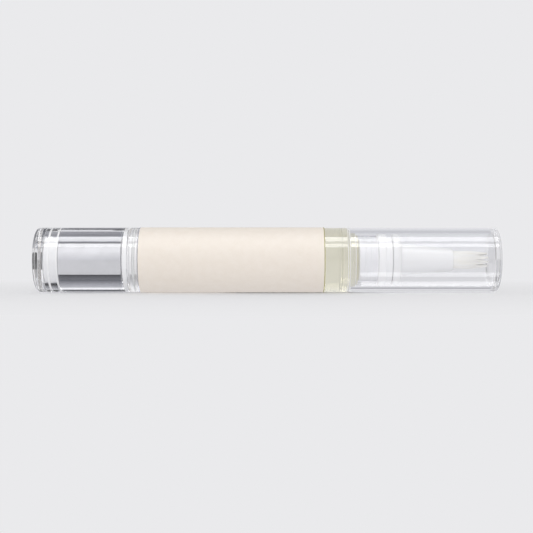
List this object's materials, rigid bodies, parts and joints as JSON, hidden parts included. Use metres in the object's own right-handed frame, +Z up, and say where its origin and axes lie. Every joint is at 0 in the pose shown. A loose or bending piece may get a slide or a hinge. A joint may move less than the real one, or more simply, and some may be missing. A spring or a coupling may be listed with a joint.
{
  "type": "cuticle oil bottle",
  "caption": "Clear twist-up brush pen for cuticle oil, with a pull-off cap, a turning knob, a ratcheted screw that drives a piston, and a soft brush tip.",
  "frame": {"origin": "on the pen's axis, halfway along the capped pen", "axes": "+X along the pen from its knob to its cap, +Z up"},
  "size_m": [0.1216, 0.0172, 0.0172],
  "materials": {
    "clear_cap": "clear, glossy",
    "cream_bristles": "soft synthetic filament",
    "white_holder": "moulded, satin",
    "white_fitting": "moulded, satin",
    "clear_barrel": "clear, glossy",
    "cream_label": "thin film, matte",
    "pale_oil": "clear pale oil",
    "clear_knob": "clear, glossy",
    "silver_sleeve": "bright silvered",
    "white_plug": "moulded, satin",
    "white_drive": "moulded, satin",
    "white_screw": "moulded, satin",
    "white_insert": "moulded, satin",
    "white_ratchet": "moulded, satin",
    "seal_rubber": "soft, pale",
    "white_piston": "moulded, waxy",
    "ring_rubber": "soft, pale",
    "clear_feed_tube": "milky"
  },
  "bodies": {
    "barrel": {"barrel_tube": "clear_barrel", "label": "cream_label", "thread_insert": "white_insert", "oil_fill": "pale_oil", "neck_fitting": "white_fitting", "brush_holder": "white_holder", "feed_tube": "clear_feed_tube", "bristles": "cream_bristles"},
    "cap": {"cap_shell": "clear_cap"},
    "knob": {"knob_shell": "clear_knob", "knob_sleeve": "silver_sleeve", "knob_plug": "white_plug", "drive_tube": "white_drive", "drive_seal": "seal_rubber", "ratchet_ring": "white_ratchet"},
    "screw": {"lead_screw": "white_screw"},
    "piston": {"piston": "white_piston", "piston_ring": "ring_rubber"}
  },
  "joints": [
    {"name": "cap_pull", "type": "slide", "parent": "barrel", "child": "cap", "axis": [1, 0, 0], "range_m": [0, 0.045]},
    {"name": "knob_twist", "type": "hinge", "parent": "barrel", "child": "knob", "pos_m": [-0.0363, 0, 0], "axis": [1, 0, 0], "range_deg": [0, 5040], "deforming": ["ratchet_ring"]},
    {"name": "screw_advance", "type": "slide", "parent": "knob", "child": "screw", "axis": [1, 0, 0], "range_m": [0, 0.02801]},
    {"name": "piston_advance", "type": "slide", "parent": "barrel", "child": "piston", "axis": [1, 0, 0], "range_m": [0, 0.02801], "deforming": ["oil_fill"]}
  ],
  "couplings": [
    {"joint": "screw_advance", "follows": "knob_twist", "m_per_rad": 0.00031831},
    {"joint": "piston_advance", "follows": "knob_twist", "m_per_rad": 0.00031831}
  ]
}
